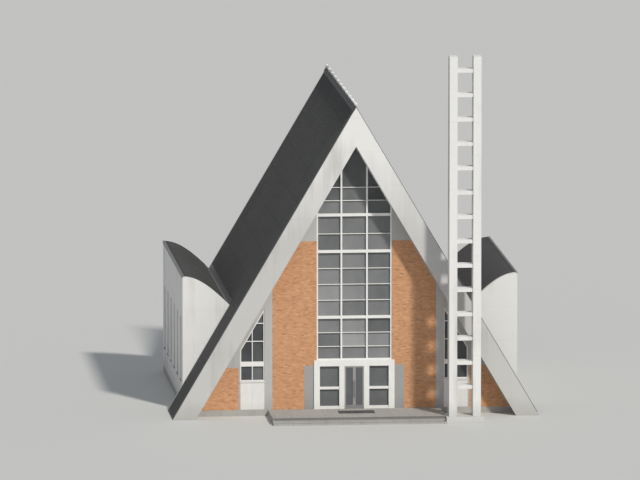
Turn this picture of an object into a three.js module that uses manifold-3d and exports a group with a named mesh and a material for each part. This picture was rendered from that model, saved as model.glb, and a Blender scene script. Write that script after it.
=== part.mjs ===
// Modern church: a steep A-frame nave with curved side wings, a glazed front and a free-standing bell tower.
// Millimetres, +Z up. The origin is on the ground at the middle of the building, and the front faces -Y.
import * as THREE from "three";
import { mergeVertices } from "three/addons/utils/BufferGeometryUtils.js";
import Module from "manifold-3d";

const wasm = await Module();
wasm.setup();

// Roof: slope lines are named by the height at which they cross the centre line
const PITCH = 1.7;
const RIDGE_Z = 22400;
const ROOF_THICKNESS = 300;
const STEEPNESS = Math.hypot(1, PITCH);
const CEILING_Z = RIDGE_Z - ROOF_THICKNESS * STEEPNESS;
const LENGTH = 23600;
const FIT_GAP = 0.3;
const SLOPE_GAP = FIT_GAP * STEEPNESS;

// Depths, measured back from the front plane
const LIP_BACK = 250;
const FRAME_BACK = 1500;
const CLADDING_BACK = 1620;
const FACADE_BACK = 1800;
const BAY_BACK = 4600;
const CHEEK_BACK = 4900;
const REAR_WALL_FRONT = 23050;
const REAR_WALL_BACK = 23350;

// Levels
const FLOOR_Z = 450;
const FLOOR_CLEARANCE = 3;
const EAVE_Z = 7600;

// Front frame, ribs and ridge
const FRAME_INNER_Z = 19600;
const RIB_DEPTH = 900;
const RIB_WIDTH = 450;
const RIB_PLACES = [10950, 17000];
const CAP_HALF = 170;
const CAP_RISE = 80;

// Side wings
const WING_HALF = 12100;
const WING_WALL = 300;
const WING_RISE = 2100;
const WING_ROOF_THICKNESS = 200;
const WING_SEGMENTS = 12;
const VALLEY_BEAM_HEIGHT = 600;
const SIDE_WINDOWS = 6;
const SIDE_WINDOW = { width: 1100, sill: 2000, head: 6600 };

// Rear wall windows
const REAR_WINDOW = { pitch: 2600, width: 900, sill: 3000, head: 11000 };
const GLASS_LAP = 100;
const WALL_GLASS = 30;

// Front wall
const FACADE_TOP_Z = 20400;
const GLASS_HALF = 2700;
const PORTAL_HALF = 2900;
const JAMB_HALF = 3600;
const JAMB_TOP = 3600;
const BRICK_OUTER = 5900;
const BRICK_TOP = 12600;
const WINDOW_INNER = 6460;
const WINDOW_OUTER = 8200;
const WINDOW_SILL = 2530;
const WINDOW_TOP_Z = 18730;
const BASE_INNER = 8320;
const BASE_TOP = 3500;
const PANE = 25;
const WINDOW_FRAME = { front: 1560, back: 1680, rim: 70, barHalf: 30 };
const WINDOW_TRANSOM = [3590, 3930];
const WINDOW_BARS = [5400, 6700];

// Doors and the glass wall over them
const POST_INNER = 700;
const POST_OUTER = 1080;
const SIDE_POST = 2480;
const HEAD_BOTTOM = 3545;
const HEAD_TOP = 3975;
const PORTAL_FRONT = 1400;
const GLASS_WALL = { front: 1540, back: 1720, rim: 100 };
const MULLION = { place: 920, half: 60 };
const TRANSOMS = [7075, 11835, 14470];
const TRANSOM_HALF = 100;
const SIDE_RAILS = { front: 1440, back: 1600, foot: 650, middle: [1870, 2050] };
const LEAF = { gap: 5, thickness: 50, stile: 95, bottomRail: 260, foot: 10, glass: 20 };
const HINGE = { reach: 14, radius: 11, knuckle: 60, ears: 45, levels: [750, 2000, 3250] };
const PULL = { reach: 60, radius: 16, bottom: 1300, top: 2500, stubInset: 150, stubHalf: 10 };
const ROUND_SIDES = 12;

// Landing and bell tower
const LANDING_HALF = 6200;
const LANDING_FRONT = -2600;
const STEP = { rise: 150, going: 300 };
const TOWER = { left: 6410, right: 8690, post: 570, front: -2750, back: -1650, top: 26300 };
const TOWER_BASE = { left: 6200, right: 8900, front: -3200, back: -1200 };
const TOWER_SLAB = { first: 2400, pitch: 1750, count: 14, thickness: 260, inset: 100 };

// Turns a closed geometry into a solid for cutting and joining
function toSolid(geometry) {
  const bare = geometry.clone();
  bare.deleteAttribute("normal");
  bare.deleteAttribute("uv");
  const merged = mergeVertices(bare, 1e-3);
  const vertProperties = new Float32Array(merged.attributes.position.array);
  const triVerts = new Uint32Array(merged.index.array);
  return new wasm.Manifold(new wasm.Mesh({ numProp: 3, vertProperties, triVerts }));
}

// Turns a solid back into a geometry
function toGeometry(solid) {
  const mesh = solid.getMesh();
  const geometry = new THREE.BufferGeometry();
  geometry.setAttribute("position", new THREE.BufferAttribute(mesh.vertProperties, 3));
  geometry.setIndex(new THREE.BufferAttribute(mesh.triVerts, 1));
  geometry.computeVertexNormals();
  return geometry;
}

// Joins touching or overlapping geometries into one body
function join(...pieces) {
  const solids = pieces.map(toSolid);
  return toGeometry(solids.reduce((sum, next) => sum.add(next)));
}

// Cuts every tool out of a geometry
function cut(base, ...tools) {
  const solids = tools.map(toSolid);
  return toGeometry(solids.reduce((rest, tool) => rest.subtract(tool), toSolid(base)));
}

// A block between two corners
function block(x0, x1, y0, y1, z0, z1) {
  const geometry = new THREE.BoxGeometry(Math.abs(x1 - x0), y1 - y0, z1 - z0);
  return geometry.translate((x0 + x1) / 2, (y0 + y1) / 2, (z0 + z1) / 2);
}

// A flat outline of [x, z] points, extruded from front to back; side -1 mirrors it to the left
function panel(points, front, back, side = 1, hole = null) {
  const toVectors = (list) => list.map(([x, z]) => new THREE.Vector2(side * x, z));
  const shape = new THREE.Shape(toVectors(points));
  if (hole) shape.holes.push(new THREE.Path(toVectors(hole)));
  const geometry = new THREE.ExtrudeGeometry(shape, { depth: back - front, bevelEnabled: false });
  const position = geometry.attributes.position;
  for (let i = 0; i < position.count; i += 1) {
    position.setXYZ(i, position.getX(i), back - position.getZ(i), position.getY(i));
  }
  return geometry;
}

// Distance from the centre line to a slope line at a given height
function slopeX(apexZ, z) {
  return (apexZ - z) / PITCH;
}

// Height of a slope line at a distance from the centre line
function slopeZ(apexZ, x) {
  return apexZ - PITCH * x;
}

// The band between two slope lines, from the ridge down to a level
function slopeBand(outerZ, innerZ, footZ) {
  return [
    [0, outerZ],
    [slopeX(outerZ, footZ), footZ],
    [slopeX(innerZ, footZ), footZ],
    [0, innerZ],
  ];
}

const WING_INNER = slopeX(RIDGE_Z, EAVE_Z);
const WING_WALL_INNER = WING_HALF - WING_WALL;
const RIB_TOP_Z = CEILING_Z - SLOPE_GAP;
const RIB_INNER_Z = RIB_TOP_Z - RIB_DEPTH * STEEPNESS;

// Points of the wing roof's top, a quarter sine wave rising from the valley to the outer wall
const WING_TOP = Array.from({ length: WING_SEGMENTS + 1 }, (_, i) => {
  const t = i / WING_SEGMENTS;
  return [WING_INNER + t * (WING_HALF - WING_INNER), EAVE_Z + WING_RISE * Math.sin((t * Math.PI) / 2)];
});

// The wing roof's top points moved down by a distance
function wingLine(drop) {
  return WING_TOP.map(([x, z]) => [x, z - drop]);
}

const WING_UNDERSIDE = wingLine(WING_ROOF_THICKNESS + 2 * FIT_GAP);

// Height of the wing roof's underside, between its points
function undersideAt(x) {
  const i = Math.max(1, WING_UNDERSIDE.findIndex(([px]) => px >= x));
  const [x0, z0] = WING_UNDERSIDE[i - 1];
  const [x1, z1] = WING_UNDERSIDE[i];
  return z0 + ((x - x0) / (x1 - x0)) * (z1 - z0);
}

// Floor slab, wider in the front bay
function floorSlab() {
  const bayHalf = slopeX(CEILING_Z, FLOOR_Z) - FLOOR_CLEARANCE;
  const front = block(-bayHalf, bayHalf, FRAME_BACK, BAY_BACK, 0, FLOOR_Z);
  const rest = block(-WING_HALF, WING_HALF, BAY_BACK, REAR_WALL_BACK, 0, FLOOR_Z);
  return join(front, rest);
}

// Entrance landing with two steps along its front
function entranceLanding() {
  const pieces = [block(-LANDING_HALF, LANDING_HALF, LANDING_FRONT, FRAME_BACK, 0, FLOOR_Z)];
  for (let i = 1; i * STEP.rise < FLOOR_Z; i += 1) {
    const front = LANDING_FRONT - i * STEP.going;
    pieces.push(block(-LANDING_HALF, LANDING_HALF, front, LANDING_FRONT, 0, FLOOR_Z - i * STEP.rise));
  }
  return join(...pieces);
}

// Bell tower: a base, two tall posts and a ladder of slabs between them
function bellTower() {
  const { left, right, post, front, back, top } = TOWER;
  const pieces = [
    block(TOWER_BASE.left, TOWER_BASE.right, TOWER_BASE.front, TOWER_BASE.back, 0, FLOOR_Z),
    block(left, left + post, front, back, 0, top),
    block(right - post, right, front, back, 0, top),
  ];
  for (let i = 0; i < TOWER_SLAB.count; i += 1) {
    const z = TOWER_SLAB.first + i * TOWER_SLAB.pitch;
    const inset = TOWER_SLAB.inset;
    pieces.push(
      block(left + inset, right - inset, front + inset, back - inset, z, z + TOWER_SLAB.thickness),
    );
  }
  return join(...pieces);
}

// One leg of the front frame, with a lip that covers the roof's edge
function frontFrame(side) {
  const lip = panel(slopeBand(RIDGE_Z, FRAME_INNER_Z, 0), 0, LIP_BACK, side);
  const leg = panel(slopeBand(RIB_TOP_Z, FRAME_INNER_Z, 0), LIP_BACK, FRAME_BACK, side);
  return join(lip, leg);
}

// Roof of the front bay, one slope down to the ground
function frontRoof(side) {
  return panel(slopeBand(RIDGE_Z, CEILING_Z, 0), LIP_BACK, BAY_BACK, side);
}

// Main roof, one slope down to the valley
function mainRoof(side) {
  return panel(slopeBand(RIDGE_Z, CEILING_Z, EAVE_Z), BAY_BACK, REAR_WALL_BACK, side);
}

// Ridge cap, a folded strip over both slopes
function ridgeCap() {
  const under = RIDGE_Z + SLOPE_GAP;
  const points = [
    [-CAP_HALF, slopeZ(under, CAP_HALF)],
    [0, under],
    [CAP_HALF, slopeZ(under, CAP_HALF)],
    [CAP_HALF, slopeZ(under, CAP_HALF) + CAP_RISE],
    [0, under + CAP_RISE],
    [-CAP_HALF, slopeZ(under, CAP_HALF) + CAP_RISE],
  ];
  return panel(points, 0, LENGTH);
}

// One half of an inner rib, from the floor to the ridge, its foot against the wing wall
function rib(side, place) {
  const points = [
    [0, RIB_TOP_Z],
    [WING_WALL_INNER, slopeZ(RIB_TOP_Z, WING_WALL_INNER)],
    [WING_WALL_INNER, FLOOR_Z],
    [slopeX(RIB_INNER_Z, FLOOR_Z), FLOOR_Z],
    [0, RIB_INNER_Z],
  ];
  return panel(points, place - RIB_WIDTH / 2, place + RIB_WIDTH / 2, side);
}

// Front wall of a wing, closing the space between the nave roof and the wing's outer wall
function wingCheek(side) {
  const points = [
    [WING_HALF, 0],
    [slopeX(RIDGE_Z, 0), 0],
    [WING_HALF, slopeZ(RIDGE_Z, WING_HALF)],
    ...[...WING_TOP].reverse(),
    [slopeX(CEILING_Z, EAVE_Z), EAVE_Z],
    [WING_HALF, slopeZ(CEILING_Z, WING_HALF)],
  ];
  return panel(points, BAY_BACK, CHEEK_BACK, side);
}

// Curved wing roof
function wingRoof(side) {
  const inner = WING_INNER + FIT_GAP;
  const top = wingLine(0);
  const under = wingLine(WING_ROOF_THICKNESS);
  top[0][0] = inner;
  under[0][0] = inner;
  return panel([...top, ...under.reverse()], CHEEK_BACK, REAR_WALL_BACK, side);
}

// Beam along the valley, under the main roof's foot and the wing roof's inner edge
function valleyBeam(side) {
  const bottom = EAVE_Z - VALLEY_BEAM_HEIGHT;
  const points = [
    [slopeX(CEILING_Z, bottom), bottom],
    [WING_UNDERSIDE[1][0], bottom],
    WING_UNDERSIDE[1],
    WING_UNDERSIDE[0],
    [WING_INNER, EAVE_Z],
    [slopeX(CEILING_Z, EAVE_Z), EAVE_Z],
  ];
  return panel(points, CHEEK_BACK, REAR_WALL_FRONT, side);
}

// Outer wall of a wing, with a row of tall windows
function wingSideWall(side) {
  const points = [
    [WING_WALL_INNER, FLOOR_Z],
    [WING_HALF, FLOOR_Z],
    [WING_HALF, undersideAt(WING_HALF)],
    [WING_WALL_INNER, undersideAt(WING_WALL_INNER)],
  ];
  const wall = panel(points, CHEEK_BACK, REAR_WALL_FRONT, side);
  const pitch = (REAR_WALL_FRONT - CHEEK_BACK) / SIDE_WINDOWS;
  const holes = Array.from({ length: SIDE_WINDOWS }, (_, i) => {
    const middle = CHEEK_BACK + (i + 0.5) * pitch;
    const half = SIDE_WINDOW.width / 2;
    const x0 = side * (WING_WALL_INNER - WING_WALL);
    const x1 = side * (WING_HALF + WING_WALL);
    return block(x0, x1, middle - half, middle + half, SIDE_WINDOW.sill, SIDE_WINDOW.head);
  });
  return cut(wall, ...holes);
}

// Glass sheet behind the windows of a wing wall
function wingSideGlass(side) {
  const x0 = side * (WING_WALL_INNER - WALL_GLASS);
  const x1 = side * WING_WALL_INNER;
  const bottom = SIDE_WINDOW.sill - GLASS_LAP;
  const top = SIDE_WINDOW.head + GLASS_LAP;
  return block(x0, x1, CHEEK_BACK + GLASS_LAP, REAR_WALL_FRONT - GLASS_LAP, bottom, top);
}

// Rear wall under the nave roof and both wing roofs, with three tall windows
function rearWall() {
  const right = [
    [WING_HALF, FLOOR_Z],
    ...[...WING_UNDERSIDE].reverse(),
    [WING_INNER, EAVE_Z],
    [slopeX(RIB_TOP_Z, EAVE_Z), EAVE_Z],
    [0, RIB_TOP_Z],
  ];
  const left = right.slice(0, -1).map(([x, z]) => [-x, z]);
  const wall = panel([...right, ...left.reverse()], REAR_WALL_FRONT, REAR_WALL_BACK);
  const holes = [-1, 0, 1].map((i) => {
    const x = i * REAR_WINDOW.pitch;
    const half = REAR_WINDOW.width / 2;
    const front = REAR_WALL_FRONT - WING_WALL;
    const back = REAR_WALL_BACK + WING_WALL;
    return block(x - half, x + half, front, back, REAR_WINDOW.sill, REAR_WINDOW.head);
  });
  return cut(wall, ...holes);
}

// Glass sheet behind the rear windows
function rearGlass() {
  const half = REAR_WINDOW.pitch + REAR_WINDOW.width / 2 + GLASS_LAP;
  const sill = REAR_WINDOW.sill - GLASS_LAP;
  const head = REAR_WINDOW.head + GLASS_LAP;
  return block(-half, half, REAR_WALL_FRONT - WALL_GLASS, REAR_WALL_FRONT, sill, head);
}

// White band at the rear edge of the nave roof
function rearVerge(side) {
  return panel(slopeBand(RIDGE_Z, FRAME_INNER_Z, EAVE_Z), REAR_WALL_BACK, LENGTH, side);
}

// Outline of the side window in the front wall, set in by a margin
function sideWindow(margin) {
  const top = WINDOW_TOP_Z - margin * STEEPNESS;
  const inner = WINDOW_INNER + margin;
  const outer = WINDOW_OUTER - margin;
  return [
    [inner, WINDOW_SILL + margin],
    [outer, WINDOW_SILL + margin],
    [outer, slopeZ(top, outer)],
    [inner, slopeZ(top, inner)],
  ];
}

// White front wall on one side: a back leaf, a pier and window surround, the gable corner and a door jamb
function frontWall(side) {
  const facadeX = (z) => slopeX(FACADE_TOP_Z, z);
  const facadeZ = (x) => slopeZ(FACADE_TOP_Z, x);
  const backLeaf = panel(
    [
      [PORTAL_HALF, FLOOR_Z],
      [facadeX(FLOOR_Z), FLOOR_Z],
      [GLASS_HALF, facadeZ(GLASS_HALF)],
      [GLASS_HALF, HEAD_TOP],
      [PORTAL_HALF, HEAD_TOP],
    ],
    CLADDING_BACK,
    FACADE_BACK,
    side,
  );
  const surround = panel(
    [
      [BRICK_OUTER, FLOOR_Z],
      [BASE_INNER, FLOOR_Z],
      [BASE_INNER, BASE_TOP],
      [facadeX(BASE_TOP), BASE_TOP],
      [BRICK_OUTER, facadeZ(BRICK_OUTER)],
    ],
    FRAME_BACK,
    CLADDING_BACK,
    side,
  );
  const corner = panel(
    [
      [GLASS_HALF, BRICK_TOP],
      [facadeX(BRICK_TOP), BRICK_TOP],
      [GLASS_HALF, facadeZ(GLASS_HALF)],
    ],
    FRAME_BACK,
    CLADDING_BACK,
    side,
  );
  const jamb = block(side * PORTAL_HALF, side * JAMB_HALF, FRAME_BACK, CLADDING_BACK, FLOOR_Z, JAMB_TOP);
  const opening = panel(sideWindow(0), 0, BAY_BACK, side);
  return cut(join(backLeaf, surround, corner, jamb), opening);
}

// Orange brick panel between the glass wall and the pier
function brickPanel(side) {
  const points = [
    [JAMB_HALF, FLOOR_Z],
    [BRICK_OUTER, FLOOR_Z],
    [BRICK_OUTER, slopeZ(FACADE_TOP_Z, BRICK_OUTER)],
    [slopeX(FACADE_TOP_Z, BRICK_TOP), BRICK_TOP],
    [GLASS_HALF, BRICK_TOP],
    [GLASS_HALF, HEAD_TOP],
    [PORTAL_HALF, HEAD_TOP],
    [PORTAL_HALF, JAMB_TOP],
    [JAMB_HALF, JAMB_TOP],
  ];
  return panel(points, FRAME_BACK, CLADDING_BACK, side);
}

// Low orange brick wall beside the leg
function brickBase(side) {
  const points = [
    [BASE_INNER, FLOOR_Z],
    [slopeX(FACADE_TOP_Z, FLOOR_Z), FLOOR_Z],
    [slopeX(FACADE_TOP_Z, BASE_TOP), BASE_TOP],
    [BASE_INNER, BASE_TOP],
  ];
  return panel(points, FRAME_BACK, CLADDING_BACK, side);
}

// White frame of a side window, with a thick transom, two thin bars and a mullion
function sideWindowFrame(side) {
  const { front, back, rim, barHalf } = WINDOW_FRAME;
  const middle = (WINDOW_INNER + WINDOW_OUTER) / 2;
  const outline = sideWindow(FIT_GAP);
  const whole = toSolid(panel(outline, front, back, side));
  const light = toSolid(panel(sideWindow(rim), front - rim, back + rim, side));
  const bars = [
    [middle - barHalf, middle + barHalf, WINDOW_SILL, slopeZ(WINDOW_TOP_Z, WINDOW_INNER)],
    [WINDOW_INNER, WINDOW_OUTER, ...WINDOW_TRANSOM],
    ...WINDOW_BARS.map((z) => [WINDOW_INNER, WINDOW_OUTER, z - barHalf, z + barHalf]),
  ];
  const solids = bars.map(([x0, x1, z0, z1]) => toSolid(block(side * x0, side * x1, front, back, z0, z1)));
  const opened = solids.reduce((rest, bar) => rest.subtract(bar), light);
  return toGeometry(whole.subtract(opened));
}

// Glass of a side window
function sideWindowGlass(side) {
  return panel(sideWindow(FIT_GAP), WINDOW_FRAME.back, WINDOW_FRAME.back + PANE, side);
}

// Outline of the central glass wall; a lower apex sets the sloping top in
function glassOutline(half, bottom, apexZ) {
  return [
    [-half, bottom],
    [half, bottom],
    [half, slopeZ(apexZ, half)],
    [0, apexZ],
    [-half, slopeZ(apexZ, half)],
  ];
}

// White frame of the glass wall
function glassWallFrame() {
  const { front, back, rim } = GLASS_WALL;
  const whole = toSolid(panel(glassOutline(GLASS_HALF, HEAD_TOP, FACADE_TOP_Z), front, back));
  const light = toSolid(
    panel(glassOutline(GLASS_HALF - rim, HEAD_TOP + rim, FRAME_INNER_Z - rim), front - rim, back + rim),
  );
  const mullions = [-1, 1].map((side) => {
    const x = side * MULLION.place;
    return block(x - MULLION.half, x + MULLION.half, front, back, HEAD_TOP, RIDGE_Z);
  });
  const transoms = TRANSOMS.map((z) =>
    block(-GLASS_HALF, GLASS_HALF, front, back, z - TRANSOM_HALF, z + TRANSOM_HALF),
  );
  const bars = [...mullions, ...transoms].map(toSolid);
  const opened = bars.reduce((rest, bar) => rest.subtract(bar), light);
  return toGeometry(whole.subtract(opened));
}

// Glass sheet of the glass wall
function glassWallGlass() {
  const outline = glassOutline(GLASS_HALF, HEAD_TOP, FACADE_TOP_Z);
  return panel(outline, GLASS_WALL.back, GLASS_WALL.back + PANE);
}

// A hinge knuckle with a plate that ties it to the post or to the leaf, round the hinge line at x = 0, y = 0
function knuckle(towards, bottom, height) {
  const { reach, radius } = HINGE;
  const barrel = new THREE.CylinderGeometry(radius, radius, height, ROUND_SIDES);
  barrel.rotateX(Math.PI / 2).translate(0, 0, bottom + height / 2);
  const plate = block(
    towards * (LEAF.gap / 2),
    towards * (LEAF.gap / 2 + 3 * radius),
    -reach / 2,
    reach + LEAF.gap,
    bottom,
    bottom + height,
  );
  return join(barrel, plate);
}

const HINGE_X = POST_INNER - LEAF.gap / 2;
const HINGE_Y = PORTAL_FRONT - HINGE.reach;

// White door frame: four posts, a thick head, the rails of the fixed side bays and the hinge ears
function doorPortal() {
  const pieces = [block(-PORTAL_HALF, PORTAL_HALF, PORTAL_FRONT, FACADE_BACK, HEAD_BOTTOM, HEAD_TOP)];
  for (const side of [-1, 1]) {
    const posts = [
      [POST_INNER, POST_OUTER],
      [SIDE_POST, PORTAL_HALF],
    ];
    for (const [x0, x1] of posts) {
      pieces.push(block(side * x0, side * x1, PORTAL_FRONT, FACADE_BACK, FLOOR_Z, HEAD_TOP));
    }
    const rails = [
      [FLOOR_Z, SIDE_RAILS.foot],
      SIDE_RAILS.middle,
    ];
    for (const [z0, z1] of rails) {
      const { front, back } = SIDE_RAILS;
      pieces.push(block(side * POST_INNER, side * PORTAL_HALF, front, back, z0, z1));
    }
    for (const level of HINGE.levels) {
      for (const bottom of [level - FIT_GAP - HINGE.ears, level + HINGE.knuckle + FIT_GAP]) {
        pieces.push(knuckle(side, bottom, HINGE.ears).translate(side * HINGE_X, HINGE_Y, 0));
      }
    }
  }
  return join(...pieces);
}

// Glass of a fixed bay beside the doors
function sidelightGlass(side) {
  const { back, foot } = SIDE_RAILS;
  return block(side * POST_OUTER, side * SIDE_POST, back, back + PANE, foot, HEAD_BOTTOM);
}

// Bounds of a door leaf about its hinge line, at its outer edge
function leafBounds(margin) {
  return {
    near: LEAF.gap / 2 + margin,
    far: HINGE_X - LEAF.gap / 2 - margin,
    bottom: FLOOR_Z + LEAF.foot,
    top: HEAD_BOTTOM - LEAF.gap,
  };
}

// Frame of a door leaf about its hinge line, with knuckles and a pull bar
function doorLeaf(side) {
  const { near, far, bottom, top } = leafBounds(0);
  const { near: paneNear, far: paneFar } = leafBounds(LEAF.stile);
  const front = HINGE.reach;
  const back = front + LEAF.thickness;
  const frame = block(-side * near, -side * far, front, back, bottom, top);
  const hole = block(
    -side * paneNear,
    -side * paneFar,
    front - back,
    back + back,
    bottom + LEAF.bottomRail,
    top - LEAF.stile,
  );
  const knuckles = HINGE.levels.map((level) => knuckle(-side, level, HINGE.knuckle));
  const pullX = far - LEAF.stile / 2;
  const pullY = front - PULL.reach;
  const length = PULL.top - PULL.bottom;
  const bar = new THREE.CylinderGeometry(PULL.radius, PULL.radius, length, ROUND_SIDES);
  bar.rotateX(Math.PI / 2).translate(-side * pullX, pullY, PULL.bottom + length / 2);
  const stubs = [PULL.bottom + PULL.stubInset, PULL.top - PULL.stubInset].map((z) => {
    const half = PULL.stubHalf;
    return block(-side * (pullX - half), -side * (pullX + half), pullY, front + half, z - half, z + half);
  });
  return join(cut(frame, hole), ...knuckles, bar, ...stubs);
}

// Glass of a door leaf about its hinge line
function doorGlass(side) {
  const { near, far } = leafBounds(LEAF.stile);
  const { bottom, top } = leafBounds(0);
  const front = HINGE.reach + (LEAF.thickness - LEAF.glass) / 2;
  const back = front + LEAF.glass;
  return block(-side * near, -side * far, front, back, bottom + LEAF.bottomRail, top - LEAF.stile);
}

// Finishes
const paint = (color, roughness, metalness = 0) => ({ color, roughness, metalness });
const WHITE = paint(0xdedcd6, 0.75);
const ROOFING = paint(0x3c3d3f, 0.8);
const METAL = paint(0x7c7c7a, 0.5, 0.6);
const CONCRETE = paint(0x9c9a94, 0.85);
const BRICK = paint(0xca9367, 0.85);
const FRAME = paint(0xecebe6, 0.5);
const DOOR = paint(0x9d9d9b, 0.45, 0.5);
const GLASS = paint(0x39424a, 0.15);

// One named mesh
function piece(name, geometry, finish) {
  const mesh = new THREE.Mesh(geometry, new THREE.MeshStandardMaterial(finish));
  mesh.name = name;
  return mesh;
}

// The church, laid out behind its front plane
const church = new THREE.Group();
church.position.y = -LENGTH / 2;
church.add(
  piece("floor_slab", floorSlab(), CONCRETE),
  piece("entrance_landing", entranceLanding(), CONCRETE),
  piece("bell_tower", bellTower(), WHITE),
  piece("ridge_cap", ridgeCap(), METAL),
  piece("rear_wall", rearWall(), WHITE),
  piece("rear_glass", rearGlass(), GLASS),
  piece("glass_wall_frame", glassWallFrame(), FRAME),
  piece("glass_wall_glass", glassWallGlass(), GLASS),
  piece("door_portal", doorPortal(), FRAME),
);
for (const [name, side] of [["left", -1], ["right", 1]]) {
  church.add(
    piece(`front_frame_${name}`, frontFrame(side), WHITE),
    piece(`front_roof_${name}`, frontRoof(side), ROOFING),
    piece(`main_roof_${name}`, mainRoof(side), ROOFING),
    piece(`wing_cheek_${name}`, wingCheek(side), WHITE),
    piece(`wing_roof_${name}`, wingRoof(side), ROOFING),
    piece(`wing_side_wall_${name}`, wingSideWall(side), WHITE),
    piece(`wing_side_glass_${name}`, wingSideGlass(side), GLASS),
    piece(`valley_beam_${name}`, valleyBeam(side), CONCRETE),
    piece(`rear_verge_${name}`, rearVerge(side), WHITE),
    piece(`front_wall_${name}`, frontWall(side), WHITE),
    piece(`brick_panel_${name}`, brickPanel(side), BRICK),
    piece(`brick_base_${name}`, brickBase(side), BRICK),
    piece(`side_window_frame_${name}`, sideWindowFrame(side), FRAME),
    piece(`side_window_glass_${name}`, sideWindowGlass(side), GLASS),
    piece(`sidelight_glass_${name}`, sidelightGlass(side), GLASS),
  );
  RIB_PLACES.forEach((place, i) => {
    church.add(piece(`rib_${i + 1}_${name}`, rib(side, place), CONCRETE));
  });
  const door = new THREE.Group();
  door.position.set(side * HINGE_X, HINGE_Y, 0);
  door.add(
    piece(`door_leaf_${name}`, doorLeaf(side), DOOR),
    piece(`door_glass_${name}`, doorGlass(side), GLASS),
  );
  church.add(door);
}

const group = new THREE.Group();
group.add(church);

export default group;
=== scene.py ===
import math

import bmesh
import bpy
import numpy as np
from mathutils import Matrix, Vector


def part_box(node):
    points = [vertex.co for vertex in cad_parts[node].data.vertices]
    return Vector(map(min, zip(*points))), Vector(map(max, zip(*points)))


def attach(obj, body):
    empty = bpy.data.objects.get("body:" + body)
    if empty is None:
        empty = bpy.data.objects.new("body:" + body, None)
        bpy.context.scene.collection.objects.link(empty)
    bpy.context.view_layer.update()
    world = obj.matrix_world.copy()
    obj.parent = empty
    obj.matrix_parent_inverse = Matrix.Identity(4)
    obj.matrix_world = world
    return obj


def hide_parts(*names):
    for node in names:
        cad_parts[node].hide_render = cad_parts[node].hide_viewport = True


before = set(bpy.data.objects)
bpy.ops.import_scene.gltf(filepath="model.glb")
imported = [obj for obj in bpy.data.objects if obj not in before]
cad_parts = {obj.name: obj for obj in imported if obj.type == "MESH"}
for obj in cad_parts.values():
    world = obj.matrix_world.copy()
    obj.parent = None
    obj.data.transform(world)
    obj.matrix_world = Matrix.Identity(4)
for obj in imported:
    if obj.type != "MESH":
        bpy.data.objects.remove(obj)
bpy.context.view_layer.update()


# The ground and the light: a plain pale floor, a broad warm key from the right front and a cool fill.
# They are not part of the building, and the camera stands left of its axis and a little above it.
def stage_plane(name, half, colour):
    """A flat square of side 2 x half at ground level."""
    corners = [(-half, -half, 0), (half, -half, 0), (half, half, 0), (-half, half, 0)]
    mesh = bpy.data.meshes.new(name)
    mesh.from_pydata(corners, [], [(0, 1, 2, 3)])
    plane = bpy.data.objects.new(name, mesh)
    bpy.context.scene.collection.objects.link(plane)
    material = bpy.data.materials.new(name)
    material.use_nodes = True
    shader = material.node_tree.nodes["Principled BSDF"]
    shader.inputs["Base Color"].default_value = (*colour, 1)
    shader.inputs["Roughness"].default_value = 0.9
    mesh.materials.append(material)


stage_plane("ground", half=600, colour=(0.60, 0.60, 0.58))


def sun_lamp(name, azimuth, elevation, strength, colour, softness):
    """A sun at an azimuth in degrees, 0 at the front and positive to the right, and at an elevation."""
    data = bpy.data.lights.new(name, "SUN")
    data.energy = strength
    data.color = colour
    data.angle = math.radians(softness)
    lamp = bpy.data.objects.new(name, data)
    lamp.rotation_euler = (math.radians(90 - elevation), 0, math.radians(azimuth))
    bpy.context.scene.collection.objects.link(lamp)


sun_lamp("key_light", azimuth=28, elevation=42, strength=2.6, colour=(1.0, 0.97, 0.92), softness=5)
sun_lamp("fill_light", azimuth=-20, elevation=30, strength=0.25, colour=(0.92, 0.95, 1.0), softness=60)


def soft_sky(low, high, strength):
    """A sky that runs from one colour at the horizon to another overhead."""
    world = bpy.data.worlds.new("soft_sky")
    world.use_nodes = True
    tree = world.node_tree
    place = tree.nodes.new("ShaderNodeTexCoord")
    parts = tree.nodes.new("ShaderNodeSeparateXYZ")
    mix = tree.nodes.new("ShaderNodeMix")
    mix.data_type = "RGBA"
    mix.inputs[6].default_value = (*low, 1)
    mix.inputs[7].default_value = (*high, 1)
    tree.links.new(place.outputs["Generated"], parts.inputs[0])
    tree.links.new(parts.outputs["Z"], mix.inputs["Factor"])
    tree.links.new(mix.outputs[2], tree.nodes["Background"].inputs["Color"])
    tree.nodes["Background"].inputs["Strength"].default_value = strength
    bpy.context.scene.world = world


soft_sky(low=(0.90, 0.91, 0.93), high=(0.70, 0.77, 0.88), strength=0.40)
bpy.context.scene.view_settings.view_transform = "Standard"


def aim_camera(target, azimuth, elevation, distance, pixels_per_metre, frame_width=640, sensor=36):
    """Looks at a target from degrees left of the front and above it; the scale holds at the target."""
    turn = math.radians(azimuth)
    lift = math.radians(elevation)
    away = (-math.sin(turn) * math.cos(lift), -math.cos(turn) * math.cos(lift), math.sin(lift))
    data = bpy.data.cameras.new("camera")
    data.sensor_width = sensor
    data.lens = pixels_per_metre * distance / frame_width * sensor
    data.clip_end = 3000
    camera = bpy.data.objects.new("camera", data)
    camera.location = [t + distance * a for t, a in zip(target, away)]
    camera.rotation_euler = (math.radians(90) - lift, 0, -turn)
    bpy.context.scene.collection.objects.link(camera)
    bpy.context.scene.camera = camera


aim_camera(target=(-2.6, -11.8, 12.9), azimuth=5.2, elevation=8, distance=700, pixels_per_metre=14)


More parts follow.
